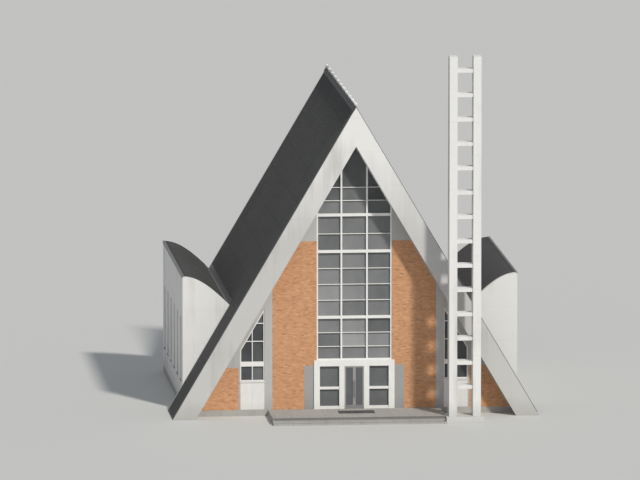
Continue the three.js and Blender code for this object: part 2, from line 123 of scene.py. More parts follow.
# Floor slab and entrance landing: cast concrete, trowelled flat and washed by rain.
# Every finish in this file starts from the effects that are defined here.
def node_group(name, inputs, output):
    """An empty shader group with float inputs {name: value} and one output, and its two end nodes."""
    group = bpy.data.node_groups.new(name, "ShaderNodeTree")
    for title, value in inputs.items():
        socket = group.interface.new_socket(title, in_out="INPUT", socket_type="NodeSocketFloat")
        socket.default_value = value
    group.interface.new_socket(output, in_out="OUTPUT", socket_type="NodeSocketFloat")
    start = group.nodes.new("NodeGroupInput")
    end = group.nodes.new("NodeGroupOutput")
    return group, start, end


def add(tree, kind, links=(), **settings):
    """A new node in tree; settings are its properties, links are (input, source socket or value)."""
    node = tree.nodes.new(kind)
    for key, value in settings.items():
        setattr(node, key, value)
    for key, source in links:
        if isinstance(source, bpy.types.NodeSocket):
            tree.links.new(source, node.inputs[key])
        else:
            node.inputs[key].default_value = source
    return node


def math_node(tree, operation, a, b, clamp=False):
    """The result of a math node on two sockets or numbers."""
    return add(tree, "ShaderNodeMath", [(0, a), (1, b)], operation=operation, use_clamp=clamp).outputs[0]


def scaled(tree, mask, amount):
    """A mask multiplied by an amount."""
    return math_node(tree, "MULTIPLY", mask, amount)


def own_place(tree):
    """The sockets X, Y and Z of a place on the piece, in metres from the building's origin."""
    place = add(tree, "ShaderNodeTexCoord").outputs["Object"]
    return add(tree, "ShaderNodeSeparateXYZ", [(0, place)]).outputs


def make_patches():
    """Patches: noise over the object's own coordinates, each multiplied by its own squeeze first."""
    sizes = {"Squeeze X": 1.0, "Squeeze Y": 1.0, "Squeeze Z": 1.0, "Scale": 1.0, "Detail": 4.0}
    group, start, end = node_group("patches", sizes, "Mask")
    place = add(group, "ShaderNodeTexCoord").outputs["Object"]
    squeeze = add(group, "ShaderNodeCombineXYZ", [(i, start.outputs[i]) for i in range(3)]).outputs[0]
    mapped = add(group, "ShaderNodeMapping", [("Vector", place), ("Scale", squeeze)]).outputs[0]
    links = [("Vector", mapped), ("Roughness", 0.55)]
    links += [(key, start.outputs[key]) for key in ("Scale", "Detail")]
    noise = add(group, "ShaderNodeTexNoise", links)
    group.links.new(noise.outputs["Fac"], end.inputs["Mask"])
    return group


PATCHES = make_patches()
EVEN = (1.0, 1.0, 1.0)


def place_noise(tree, squeeze, scale, detail=4.0):
    """The patches effect with its squeeze along each axis, its scale and its detail."""
    links = [*enumerate(squeeze), ("Scale", scale), ("Detail", detail)]
    return add(tree, "ShaderNodeGroup", links, node_tree=PATCHES).outputs["Mask"]


def make_rain_streaks():
    """Rain streaks: fine noise drawn out down the wall, times broad noise, kept above a threshold.

    The threshold is the highest one less the cover times the most it is lowered by, and the part above it is
    multiplied by the contrast."""
    highest, lowered, contrast = 0.42, 0.28, 5.0
    group, start, end = node_group("rain_streaks", {"Scale": 1.6, "Cover": 0.5}, "Mask")
    fine = place_noise(group, (1.0, 1.0, 0.06), start.outputs["Scale"], detail=6)
    broad = place_noise(group, (0.35, 0.35, 0.2), 1.0, detail=2)
    mixed = math_node(group, "MULTIPLY", fine, broad)
    threshold = math_node(group, "SUBTRACT", highest, scaled(group, start.outputs["Cover"], lowered))
    above = math_node(group, "SUBTRACT", mixed, threshold)
    mask = math_node(group, "MULTIPLY", above, contrast, clamp=True)
    group.links.new(mask, end.inputs["Mask"])
    return group


def make_fine_grain():
    """Fine grain: two sizes of noise, each times its share, added as a height for bump."""
    small_share, large_share, large_scale = 0.6, 0.4, 0.13
    group, start, end = node_group("fine_grain", {"Scale": 30.0}, "Height")
    small = place_noise(group, EVEN, start.outputs["Scale"], detail=6)
    large = place_noise(group, EVEN, scaled(group, start.outputs["Scale"], large_scale), detail=3)
    height = math_node(group, "ADD", scaled(group, small, small_share), scaled(group, large, large_share))
    group.links.new(height, end.inputs["Height"])
    return group


def make_straight_joints():
    """Straight joints: one where the place, counted from far outside and divided by the pitch, has a
    remainder below the joint's width. A pitch of 1000 metres puts no joint on the building."""
    outside, none = 300.0, 1000.0
    inputs = {"X": none, "Y": none, "Z": none, "Width": 0.012}
    group, start, end = node_group("straight_joints", inputs, "Mask")
    place = own_place(group)
    mask = 0.0
    for axis in "XYZ":
        pitch = start.outputs[axis]
        shifted = math_node(group, "ADD", place[axis], outside)
        remainder = math_node(group, "FRACT", math_node(group, "DIVIDE", shifted, pitch), 0.0)
        width = math_node(group, "DIVIDE", start.outputs["Width"], pitch)
        line = math_node(group, "LESS_THAN", remainder, width)
        mask = math_node(group, "MAXIMUM", line, mask)
    group.links.new(mask, end.inputs["Mask"])
    return group


RAIN_STREAKS = make_rain_streaks()
FINE_GRAIN = make_fine_grain()
STRAIGHT_JOINTS = make_straight_joints()


def effect(tree, group, **inputs):
    """The one output of an effect, with its inputs set."""
    return add(tree, "ShaderNodeGroup", inputs.items(), node_tree=group).outputs[0]


def blend_colour(tree, mask, first, second):
    """first where mask is 0 and second where it is 1; each is a colour or a colour socket."""
    node = add(tree, "ShaderNodeMix", data_type="RGBA")
    tree.links.new(mask, node.inputs["Factor"])
    for socket, value in ((node.inputs[6], first), (node.inputs[7], second)):
        if isinstance(value, bpy.types.NodeSocket):
            tree.links.new(value, socket)
        else:
            socket.default_value = (*value, 1)
    return node.outputs[2]


def tint(tree, colour, mask, share, toward):
    """A colour moved toward another by a share of the mask."""
    return blend_colour(tree, scaled(tree, mask, share), colour, toward)


def new_finish(name, roughness, metallic=0.0):
    """A material with its Principled shader ready: (material, tree, shader)."""
    material = bpy.data.materials.new(name)
    material.use_nodes = True
    tree = material.node_tree
    shader = tree.nodes["Principled BSDF"]
    shader.inputs["Roughness"].default_value = roughness
    shader.inputs["Metallic"].default_value = metallic
    return material, tree, shader


def add_bump(tree, shader, height, distance, strength=1.0):
    """Feeds a height, times a distance in metres, to the shader's normal."""
    bump = add(tree, "ShaderNodeBump", [("Height", height), ("Distance", distance), ("Strength", strength)])
    tree.links.new(bump.outputs["Normal"], shader.inputs["Normal"])


def lay_on(tree, shader, colour, grain, relief, sunk=None):
    """Gives the shader its colour, and as relief fine grain of a scale, less a sunk mask if there is one."""
    tree.links.new(colour, shader.inputs["Base Color"])
    height = effect(tree, FINE_GRAIN, Scale=grain)
    if sunk is not None:
        height = math_node(tree, "SUBTRACT", height, sunk)
    add_bump(tree, shader, height, relief)


def concrete_finish(name, base, dark, **pitches):
    """Grey cast concrete with blotches, streaks and straight joints at the pitches named by their axes."""
    material, tree, shader = new_finish(name, roughness=0.85)
    colour = blend_colour(tree, place_noise(tree, EVEN, 0.9, detail=6), base, dark)
    colour = tint(tree, colour, effect(tree, RAIN_STREAKS, Scale=2.2, Cover=0.6), 0.35, dark)
    joints = effect(tree, STRAIGHT_JOINTS, **pitches)
    colour = tint(tree, colour, joints, 0.7, (0.10, 0.10, 0.09))
    lay_on(tree, shader, colour, grain=24.0, relief=0.006, sunk=joints)
    return material


def dress(node, material):
    """Gives a CAD node one material."""
    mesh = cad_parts[node].data
    mesh.materials.clear()
    mesh.materials.append(material)


paving = concrete_finish("landing_concrete", (0.46, 0.45, 0.42), (0.30, 0.29, 0.27), X=1.2, Y=1.2)
dress("floor_slab", paving)
dress("entrance_landing", paving)


# White walls: the front frame, wing cheeks, outer walls, rear wall, verges, front wall and bell tower.
# Concrete and block with a painted render, streaked by rain and greyer near the ground. A leg of the frame is
# white at the gable and greyer from the middle down; the recessed front wall is grey all over with painted
# shade.
def make_ground_grime():
    """Ground grime: one less the height over a ragged reach, the reach times (noise plus a half)."""
    group, start, end = node_group("ground_grime", {"Reach": 1.2}, "Mask")
    height = own_place(group)["Z"]
    ragged = place_noise(group, (1, 1, 0.4), 1.4, detail=5)
    reach = math_node(group, "MULTIPLY", start.outputs["Reach"], math_node(group, "ADD", ragged, 0.5))
    share = math_node(group, "DIVIDE", height, reach)
    mask = math_node(group, "SUBTRACT", 1.0, share, clamp=True)
    group.links.new(mask, end.inputs["Mask"])
    return group


GROUND_GRIME = make_ground_grime()


def vary_roughness(tree, shader, mask, amount, least):
    """A roughness of the least, plus an amount of a mask."""
    tree.links.new(math_node(tree, "ADD", scaled(tree, mask, amount), least), shader.inputs["Roughness"])


def render_finish(name, base, shade, soot, lift, greyer_below=None):
    """White painted render; lift is the height in metres between pour joints.

    The last argument, when given, is (colour, height where it is full, height where it starts): the mask is
    how far a place lies below the start, divided by the distance between the heights, and noise makes its
    edge ragged."""
    material, tree, shader = new_finish(name, roughness=0.72)
    colour = tint(tree, base, place_noise(tree, EVEN, 0.45, detail=5), 0.55, shade)
    # The surface goes greyer towards the bottom, from the start height down to the full height.
    if greyer_below:
        lower_colour, full, start = greyer_below
        ragged_by = 6.0
        below = math_node(tree, "SUBTRACT", start, own_place(tree)["Z"])
        runs = math_node(tree, "SUBTRACT", place_noise(tree, (1.2, 1.2, 0.12), 1.0, detail=5), 0.5)
        ragged = math_node(tree, "ADD", below, scaled(tree, runs, ragged_by))
        share = math_node(tree, "DIVIDE", ragged, start - full, clamp=True)
        colour = blend_colour(tree, share, colour, lower_colour)
    streaks = effect(tree, RAIN_STREAKS, Scale=1.8, Cover=0.55)
    colour = tint(tree, colour, streaks, 0.45, soot)
    colour = tint(tree, colour, effect(tree, GROUND_GRIME, Reach=1.6), 0.55, soot)
    joints = effect(tree, STRAIGHT_JOINTS, Z=lift)
    colour = tint(tree, colour, joints, 0.30, soot)
    vary_roughness(tree, shader, streaks, amount=0.12, least=0.68)
    lay_on(tree, shader, colour, grain=38.0, relief=0.004, sunk=scaled(tree, joints, 0.8))
    return material


white = (0.79, 0.785, 0.765)
dull_white = (0.69, 0.685, 0.665)
soot = (0.33, 0.32, 0.29)
# The legs turn to this grey from 19 m down, and are fully grey below 13.5 m.
legs_greyer_below = ((0.53, 0.525, 0.51), 13.5, 19.0)
white_render = render_finish("white_render", white, dull_white, soot, lift=2.4)
leg_render = render_finish("leg_render", white, dull_white, soot, lift=2.4, greyer_below=legs_greyer_below)
# The recessed front wall is darker than the other white walls: its grey is painted shade of the recess.
shaded_recess_colours = ((0.48, 0.475, 0.46), (0.41, 0.405, 0.39), (0.23, 0.22, 0.20))
shaded_recess_render = render_finish("shaded_recess_render", *shaded_recess_colours, lift=3.6)
SIDES = {"left": -1, "right": 1}
for side in SIDES:
    for part in ("wing_cheek", "wing_side_wall", "rear_verge"):
        dress(f"{part}_{side}", white_render)
    dress(f"front_frame_{side}", leg_render)
    dress(f"front_wall_{side}", shaded_recess_render)
dress("rear_wall", white_render)
dress("bell_tower", white_render)


# Inner ribs and valley beams: fair-faced concrete behind the glass.
# They are cast in lifts, and pour joints cross them every 1.8 metres of height.
inner_concrete = concrete_finish("inner_concrete", (0.50, 0.49, 0.46), (0.38, 0.37, 0.35), Z=1.8)
for side in SIDES:
    for part in ("rib_1", "rib_2", "valley_beam"):
        dress(f"{part}_{side}", inner_concrete)


# Roof: dark grey sheet on the steep slopes and over the curved wings, with standing seams.
# Each seam is a folded upstand that runs from the ridge to the eave, clipped to the deck below.
ROOF_SLOPE = 1.7
WING_RISE = 2.1
SEAM_PITCH = 0.62
SEAM_WIDTH = 0.028
SEAM_SUNK = 0.004


def roof_finish():
    """Dark weathered sheet with faded blotches, run marks down the slope and laps across it."""
    material, tree, shader = new_finish("dark_roofing", roughness=0.62)
    fade = place_noise(tree, EVEN, 0.35, detail=6)
    colour = blend_colour(tree, fade, (0.030, 0.031, 0.033), (0.085, 0.085, 0.083))
    runs = place_noise(tree, (0.25, 2.6, 0.15), 1.0, detail=5)
    colour = tint(tree, colour, runs, 0.45, (0.115, 0.113, 0.108))
    laps = effect(tree, STRAIGHT_JOINTS, Z=1.9, Width=0.02)
    colour = tint(tree, colour, laps, 0.6, (0.015, 0.015, 0.016))
    vary_roughness(tree, shader, fade, amount=0.25, least=0.45)
    lay_on(tree, shader, colour, grain=12.0, relief=0.006, sunk=laps)
    return material


roofing = roof_finish()
for side in SIDES:
    for part in ("front_roof", "main_roof", "wing_roof"):
        dress(f"{part}_{side}", roofing)


def mesh_piece(name, vertices, faces, material, body="root"):
    """A new piece from whole arrays of vertices and faces, riding on a body."""
    mesh = bpy.data.meshes.new(name)
    mesh.from_pydata(np.asarray(vertices, float).reshape(-1, 3), [], [list(face) for face in faces])
    mesh.update()
    mesh.materials.append(material)
    piece = bpy.data.objects.new(name, mesh)
    bpy.context.scene.collection.objects.link(piece)
    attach(piece, body)
    return piece


def tube_faces(sections, corners):
    """Quads that join rings of corners into an open tube, ring i to ring i + 1, and its two end caps."""
    ring = np.arange(corners)
    step = np.stack([ring, np.roll(ring, -1), np.roll(ring, -1) + corners, ring + corners], axis=1)
    quads = (step[None] + (np.arange(sections - 1) * corners)[:, None, None]).reshape(-1, 4)
    return quads, ring[::-1], ring + (sections - 1) * corners


def bar_faces(sections):
    """The faces of a closed bar with four corners to a ring."""
    quads, first, last = tube_faces(sections, 4)
    return np.concatenate([quads, [first], [last]])


def numbered(faces, count, corners):
    """The faces of count like shapes that follow each other in one mesh, each with as many corners."""
    faces = np.asarray(faces)
    return (faces[None] + (np.arange(count) * corners)[:, None, None]).reshape(-1, faces.shape[1])


def spread(node, spacing):
    """Places along Y on a node, at about a spacing and half a step in from its ends, as (places, 1, 3)."""
    low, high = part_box(node)
    count = int((high[1] - low[1]) // spacing)
    places = low[1] + (np.arange(count) + 0.5) * (high[1] - low[1]) / count
    return np.stack([np.zeros(count), places, np.zeros(count)], 1)[:, None]


def seam_rows(node, path, outward, height):
    """Upstands over a roof node that follow a path of (x, z) points, evenly spread along Y.

    Each ring of a seam is its path point moved half a width to either side along Y and sunk a little into
    the sheet, and the same two points lifted along the outward normal by the height."""
    path = np.asarray(path, float)
    half = SEAM_WIDTH / 2
    ring = [(-half, -SEAM_SUNK), (half, -SEAM_SUNK), (half, height), (-half, height)]
    rings = np.zeros((len(path), 4, 3))
    for corner, (along, lift) in enumerate(ring):
        rings[:, corner, 0] = path[:, 0] + outward[:, 0] * lift
        rings[:, corner, 1] = along
        rings[:, corner, 2] = path[:, 1] + outward[:, 1] * lift
    vertices = rings.reshape(-1, 3) + spread(node, SEAM_PITCH)
    faces = numbered(bar_faces(len(path)), len(vertices), 4 * len(path))
    return mesh_piece(f"{node}_seams", vertices, faces, roofing)


def slope_seams(node, sign, foot):
    """Straight seams down one steep slope, from just below the ridge to a foot height above the ground.

    The slope falls by ROOF_SLOPE for each metre outward, so its normal is (ROOF_SLOPE, 1) made one long."""
    ridge_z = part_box(node)[1][2]
    normal = np.array([sign * ROOF_SLOPE, 1.0]) / math.hypot(1, ROOF_SLOPE)
    start = 0.2
    path = [(sign * start, ridge_z - ROOF_SLOPE * start), (sign * (ridge_z - foot) / ROOF_SLOPE, foot)]
    return seam_rows(node, path, np.tile(normal, (2, 1)), height=0.045)


def wing_seams(node, sign):
    """Seams over a wing's curved roof, on a quarter sine wave from the valley to the outer edge."""
    low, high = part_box(node)
    inner = min(abs(low[0]), abs(high[0]))
    outer = max(abs(low[0]), abs(high[0]))
    first, last, points = 0.09, 0.96, 14
    turn = np.linspace(first, last, points)
    x = inner + turn * (outer - inner)
    z = high[2] - WING_RISE + WING_RISE * np.sin(turn * math.pi / 2)
    slope = WING_RISE * math.pi / 2 / (outer - inner) * np.cos(turn * math.pi / 2)
    normal = np.stack([-sign * slope, np.ones_like(slope)], 1) / np.hypot(1, slope)[:, None]
    return seam_rows(node, np.stack([sign * x, z], 1), normal, height=0.04)


for side, sign in SIDES.items():
    slope_seams(f"front_roof_{side}", sign, foot=0.16)
    slope_seams(f"main_roof_{side}", sign, foot=8.0)
for side, sign in SIDES.items():
    wing_seams(f"wing_roof_{side}", sign)


# Ridge cap: a folded strip of dark metal over the top of both slopes.
# Its lengths are joined by short sleeves, folded over it and a little wider.
def metal_finish(name, base, stain):
    """Dull metal with faint mottling and rain stains."""
    material, tree, shader = new_finish(name, roughness=0.5, metallic=0.6)
    colour = tint(tree, base, place_noise(tree, EVEN, 2.4, detail=4), 0.6, stain)
    colour = tint(tree, colour, effect(tree, RAIN_STREAKS, Scale=5.0, Cover=0.5), 0.4, stain)
    lay_on(tree, shader, colour, grain=60.0, relief=0.001)
    return material


cap_metal = metal_finish("ridge_metal", (0.10, 0.10, 0.099), (0.055, 0.055, 0.054))
dress("ridge_cap", cap_metal)


def ridge_sleeves():
    """Short folded sleeves over the cap: its outline grown outwards, repeated along the ridge."""
    low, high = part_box("ridge_cap")
    grow, depth, length, spacing = 0.012, 0.12, 0.14, 1.2
    half = (high[0] - low[0]) / 2
    top = high[2] + grow
    eave = top - ROOF_SLOPE * half
    outline = np.array([
        (-half - grow, eave - depth), (-half - grow, eave), (0, top),
        (half + grow, eave), (half + grow, eave - depth), (0, top - depth),
    ])
    rings = np.zeros((2, 6, 3))
    rings[:, :, 0] = outline[:, 0]
    rings[:, :, 1] = [[-length / 2], [length / 2]]
    rings[:, :, 2] = outline[:, 1]
    caps = [[0, 1, 2, 5], [2, 3, 4, 5], [6, 11, 8, 7], [8, 11, 10, 9]]
    pattern = np.concatenate([tube_faces(2, 6)[0], caps])
    vertices = rings.reshape(-1, 3) + spread("ridge_cap", spacing)
    faces = numbered(pattern, len(vertices), 12)
    return mesh_piece("ridge_sleeves", vertices, faces, cap_metal)


ridge_sleeves()


# Ridge line: a pale round rod along the top of the cap, held clear of it by eleven stand-offs.
# It is the thin bright line with small knots that the photograph shows from the gable to the rear.
def turned(name, profile, places, axis, sides, material):
    """Turned pieces: a profile of (radius, distance along the axis) spun round, one at each place."""
    profile = np.asarray(profile, float)
    places = np.asarray(places, float)
    angle = np.arange(sides) * 2 * math.pi / sides
    across = [i for i in range(3) if i != axis]
    rings = np.zeros((len(profile), sides, 3))
    rings[:, :, axis] = profile[:, 1][:, None]
    rings[:, :, across[0]] = profile[:, 0][:, None] * np.cos(angle)
    rings[:, :, across[1]] = profile[:, 0][:, None] * np.sin(angle)
    quads, first, last = tube_faces(len(profile), sides)
    if axis == 1:
        quads, first, last = quads[:, ::-1], first[::-1], last[::-1]
    corners = len(profile) * sides
    faces = numbered(quads, len(places), corners).tolist()
    faces += numbered([first, last], len(places), corners).tolist()
    piece = mesh_piece(name, rings.reshape(-1, 3) + places[:, None], faces, material)
    piece.data.shade_smooth()
    return piece


def rail_finish():
    """Pale painted metal, weathered in patches."""
    material, tree, shader = new_finish("pale_metal", roughness=0.5)
    weather = place_noise(tree, EVEN, 4.0, detail=4)
    colour = tint(tree, (0.88, 0.88, 0.86), weather, 0.5, (0.62, 0.61, 0.58))
    tree.links.new(colour, shader.inputs["Base Color"])
    return material


rail_metal = rail_finish()
cap_low, cap_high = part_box("ridge_cap")
rail_z = cap_high[2] + 0.12
half_length = (cap_high[1] - cap_low[1]) / 2 - 0.05
rod = [(0.05, -half_length), (0.05, half_length)]
turned("ridge_rail", rod, [(0, 0, rail_z)], axis=1, sides=12, material=rail_metal)
holder_count, end_gap, holder_sunk = 11, 0.4, 0.05
knots = np.linspace(-half_length + end_gap, half_length - end_gap, holder_count)
foot_z = np.full(holder_count, cap_high[2] - holder_sunk)
holders = np.stack([np.zeros(holder_count), knots, foot_z], 1)
post = [(0.06, 0), (0.04, 0.03), (0.04, 0.09), (0.10, 0.11), (0.115, 0.17), (0.10, 0.23), (0.03, 0.27)]
turned("ridge_holders", post, holders, axis=2, sides=12, material=rail_metal)


# Orange brickwork: the tall panels beside the glass wall and the low walls beside the legs.
# Bricks of 230 by 70 mm in running bond stand a little proud of pale mortar, each with its own tone.
def mortar_finish():
    """Pale sandy mortar with fine grain."""
    material, tree, shader = new_finish("mortar", roughness=0.92)
    speckle = place_noise(tree, EVEN, 40.0, detail=3)
    colour = blend_colour(tree, speckle, (0.46, 0.34, 0.25), (0.58, 0.47, 0.37))
    lay_on(tree, shader, colour, grain=80.0, relief=0.003)
    return material


def brick_finish():
    """Orange fired clay, toned by each brick's own attribute, with speckle and rain streaks over it."""
    material, tree, shader = new_finish("orange_brick", roughness=0.86)
    tone = add(tree, "ShaderNodeAttribute", attribute_name="tone").outputs["Fac"]
    ramp = add(tree, "ShaderNodeValToRGB", [(0, tone)])
    stops = (
        (0.0, (0.44, 0.19, 0.080)), (0.35, (0.60, 0.29, 0.135)),
        (0.7, (0.68, 0.35, 0.165)), (1.0, (0.76, 0.45, 0.24)),
    )
    for place, colour in stops[1:-1]:
        ramp.color_ramp.elements.new(place)
    for element, (place, colour) in zip(ramp.color_ramp.elements, stops):
        element.position = place
        element.color = (*colour, 1)
    speckle = place_noise(tree, EVEN, 55.0, detail=4)
    colour = tint(tree, ramp.outputs[0], speckle, 0.35, (0.38, 0.17, 0.09))
    colour = tint(tree, colour, effect(tree, RAIN_STREAKS, Scale=1.5, Cover=0.5), 0.22, (0.24, 0.13, 0.08))
    lay_on(tree, shader, colour, grain=90.0, relief=0.003)
    return material


mortar = mortar_finish()
brick = brick_finish()
brick_dice = np.random.default_rng(11)


def set_tones(piece, tones, corners):
    """Gives each of a piece's shapes its own tone, on all of the shape's corners."""
    values = np.repeat(np.asarray(tones, float), corners).astype(np.float32)
    piece.data.attributes.new("tone", "FLOAT", "POINT").data.foreach_set("value", values)


def brickwork(name, sign, face_y, regions, slope_top):
    """Bricks over regions (x from, x to, z from, z to), cut off along a sloping top line.

    Odd courses shift by half a brick. A brick is clipped to its region, and its two top corners are lowered
    to the slope line where that is lower."""
    course, length, joint, proud, chamfer = 0.08, 0.24, 0.010, 0.008, 0.004
    least_side, least_height = 0.02, 0.012
    usual_tone, tone_spread = 0.5, 0.2
    pieces = []
    for x0, x1, z0, z1 in regions:
        rows = np.arange(math.floor(z0 / course), math.ceil(z1 / course))
        columns = np.arange(math.floor(x0 / length) - 1, math.ceil(x1 / length) + 1)
        row, column = (grid.ravel() for grid in np.meshgrid(rows, columns, indexing="ij"))
        left = column * length + (row % 2) * length / 2
        low_x = np.maximum(left + joint / 2, x0)
        high_x = np.minimum(left + length - joint / 2, x1)
        low_z = np.maximum(row * course + joint / 2, z0)
        high_z = np.minimum((row + 1) * course - joint / 2, z1)
        keep = (high_x - low_x > least_side) & (high_z - low_z > least_side)
        pieces.append(np.stack([low_x, high_x, low_z, high_z], 1)[keep])
    low_x, high_x, low_z, high_z = np.concatenate(pieces).T
    top_low = np.minimum(high_z, slope_top - ROOF_SLOPE * low_x)
    top_high = np.minimum(high_z, slope_top - ROOF_SLOPE * high_x)
    keep = (np.minimum(top_low, top_high) - low_z) > least_height
    low_x, high_x, low_z, top_low, top_high = (v[keep] for v in (low_x, high_x, low_z, top_low, top_high))
    count = len(low_x)
    vertices = np.zeros((count, 8, 3))
    for ring, (inset, depth) in enumerate(((0.0, 0.0), (chamfer, proud))):
        for corner, (x, z) in enumerate((
            (low_x + inset, low_z + inset), (high_x - inset, low_z + inset),
            (high_x - inset, top_high - inset), (low_x + inset, top_low - inset),
        )):
            vertices[:, ring * 4 + corner, 0] = sign * x
            vertices[:, ring * 4 + corner, 1] = face_y - depth
            vertices[:, ring * 4 + corner, 2] = z
    pattern = np.array([[4, 5, 6, 7], [0, 1, 5, 4], [1, 2, 6, 5], [2, 3, 7, 6], [3, 0, 4, 7], [3, 2, 1, 0]])
    if sign < 0:
        pattern = pattern[:, ::-1]
    piece = mesh_piece(name, vertices, numbered(pattern, count, 8), brick)
    set_tones(piece, np.clip(brick_dice.normal(usual_tone, tone_spread, count), 0, 1), 8)
    return piece


BRICK_SLOPE_TOP = 19.6
panel_regions = [(2.7, 5.9, 3.975, 12.6), (2.9, 5.9, 3.6, 3.975), (3.6, 5.9, 0.45, 3.6)]
base_regions = [(8.32, 11.3, 0.45, 3.5)]
for side, sign in SIDES.items():
    dress(f"brick_panel_{side}", mortar)
    dress(f"brick_base_{side}", mortar)
    face_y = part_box(f"brick_panel_{side}")[0][1]
    brickwork(f"bricks_panel_{side}", sign, face_y, panel_regions, BRICK_SLOPE_TOP)
    brickwork(f"bricks_base_{side}", sign, face_y, base_regions, BRICK_SLOPE_TOP)


# Glass: single panes of float glass in the tall front and the side windows, plain sheets elsewhere.
# Each pane is set a little off true, and its own tone mixes a painted reflection of what it faces with what
# hangs behind it.
def glass_finish(name, dark, light, roughness):
    """Glass between a dark and a light colour, by the tone of a pane and faint clouding; the tone is painted
    light.
    """
    material, tree, shader = new_finish(name, roughness)
    tone = add(tree, "ShaderNodeAttribute", attribute_name="tone").outputs["Fac"]
    cloud = scaled(tree, place_noise(tree, (1, 1, 0.6), 0.8, detail=3), 0.3)
    share = math_node(tree, "ADD", tone, math_node(tree, "SUBTRACT", cloud, 0.12), clamp=True)
    tree.links.new(blend_colour(tree, share, dark, light), shader.inputs["Base Color"])
    dust = effect(tree, RAIN_STREAKS, Scale=3.0, Cover=0.4)
    vary_roughness(tree, shader, dust, amount=0.14, least=roughness)
    shader.inputs["IOR"].default_value = 1.5
    shader.inputs["Alpha"].default_value = 0.92
    add_bump(tree, shader, place_noise(tree, EVEN, 1.3, detail=2), distance=0.02, strength=0.3)
    return material


pane_glass = glass_finish("pane_glass", (0.05, 0.055, 0.06), (0.42, 0.43, 0.43), 0.12)
dark_glass = glass_finish("dark_glass", (0.028, 0.032, 0.036), (0.16, 0.17, 0.18), 0.08)
# The door and sidelight glass is lighter: painted reflection of the bright surroundings.
entrance_glass = glass_finish("entrance_glass", (0.12, 0.125, 0.13), (0.42, 0.43, 0.43), 0.1)
dress("glass_wall_glass", pane_glass)
dress("rear_glass", dark_glass)
for side in SIDES:
    dress(f"side_window_glass_{side}", pane_glass)
    dress(f"wing_side_glass_{side}", dark_glass)
    dress(f"sidelight_glass_{side}", entrance_glass)
    dress(f"door_glass_{side}", entrance_glass)

pane_dice = np.random.default_rng(5)


def glass_panes(name, outlines, tones, node):
    """Panes in place of a CAD sheet; outlines is (panes, corners, x and z), anticlockwise from the front.

    A pane's depth is the sheet's, plus a slope in x times the distance from its middle, plus one in z."""
    front, back, usual_lean, largest_lean = 0.006, 0.018, 0.0025, 0.005
    sheet_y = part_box(node)[0][1]
    outlines = np.asarray(outlines, float)
    count, corners = outlines.shape[:2]
    middle = outlines.mean(axis=1, keepdims=True)
    lean = pane_dice.normal(0, usual_lean, (count, 1, 2)).clip(-largest_lean, largest_lean)
    depth = ((outlines - middle) * lean).sum(axis=2).clip(-largest_lean, largest_lean)
    vertices = np.zeros((count, 2 * corners, 3))
    for ring, y in enumerate((sheet_y + front, sheet_y + back)):
        part = slice(ring * corners, (ring + 1) * corners)
        vertices[:, part, 0] = outlines[:, :, 0]
        vertices[:, part, 1] = y + depth
        vertices[:, part, 2] = outlines[:, :, 1]
    ring = np.arange(corners)
    rims = np.stack([ring, ring + corners, np.roll(ring, -1) + corners, np.roll(ring, -1)], axis=1)
    sheets = [ring, ring[::-1] + corners]
    faces = numbered(sheets, count, 2 * corners).tolist() + numbered(rims, count, 2 * corners).tolist()
    piece = mesh_piece(name, vertices, faces, pane_glass)
    set_tones(piece, tones, 2 * corners)
    bm = bmesh.new()
    bm.from_mesh(piece.data)
    bmesh.ops.dissolve_degenerate(bm, dist=1e-4, edges=bm.edges)
    bm.to_mesh(piece.data)
    bm.free()
    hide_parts(node)
    return piece


def clipped_panes(x0, x1, levels, apex, side):
    """Outlines of a column of panes under a slope line; side -1 mirrors the column to the left.

    The two upper corners slide down the slope line where a pane would pass it."""
    least_height = 0.05
    z0, z1 = np.asarray(levels[:-1]), np.asarray(levels[1:])
    keep = apex - ROOF_SLOPE * x0 - z0 > least_height
    z0, z1 = z0[keep], z1[keep]
    reach = np.minimum(x1, (apex - z0) / ROOF_SLOPE)
    shoulder = np.clip((apex - z1) / ROOF_SLOPE, x0, reach)
    corners = np.stack([
        np.stack([np.full_like(z0, x0), z0], 1),
        np.stack([reach, z0], 1),
        np.stack([reach, np.minimum(z1, apex - ROOF_SLOPE * reach)], 1),
        np.stack([shoulder, np.minimum(z1, apex - ROOF_SLOPE * shoulder)], 1),
        np.stack([np.full_like(z0, x0), np.minimum(z1, apex - ROOF_SLOPE * x0)], 1),
    ], axis=1)
    if side < 0:
        corners = corners[:, ::-1] * (-1, 1)
    return corners


def middle_panes(half, levels, apex):
    """Outlines of the middle column, whose last pane ends in the point of the gable."""
    z0, z1 = np.asarray(levels[:-1]), np.asarray(levels[1:])
    shoulder = np.minimum(z1, apex - ROOF_SLOPE * half)
    return np.stack([
        np.stack([np.full_like(z0, -half), z0], 1),
        np.stack([np.full_like(z0, half), z0], 1),
        np.stack([np.full_like(z0, half), shoulder], 1),
        np.stack([np.zeros_like(z0), np.minimum(z1, apex)], 1),
        np.stack([np.full_like(z0, -half), shoulder], 1),
    ], axis=1)


GLASS_APEX = 20.3
GLASS_HALF = 2.69
thin_bars = [4.95, 5.95, 8.3, 9.45, 10.6, 13.1, 15.5, 16.45]
thick_bars = [7.075, 11.835, 14.47]
wall_levels = np.array(sorted([4.0, GLASS_APEX] + thin_bars + thick_bars))
mullion_place, half_joint = 0.92, 0.005
wall_columns = [
    clipped_panes(mullion_place + half_joint, GLASS_HALF, wall_levels, GLASS_APEX, -1),
    middle_panes(mullion_place - half_joint, wall_levels, GLASS_APEX),
    clipped_panes(mullion_place + half_joint, GLASS_HALF, wall_levels, GLASS_APEX, 1),
]
# Column tones are painted light: the left and middle are lighter with painted reflection, the right darker
# with painted shade.
column_painted_light_tones, tone_spread = (0.46, 0.54, 0.40), 0.14
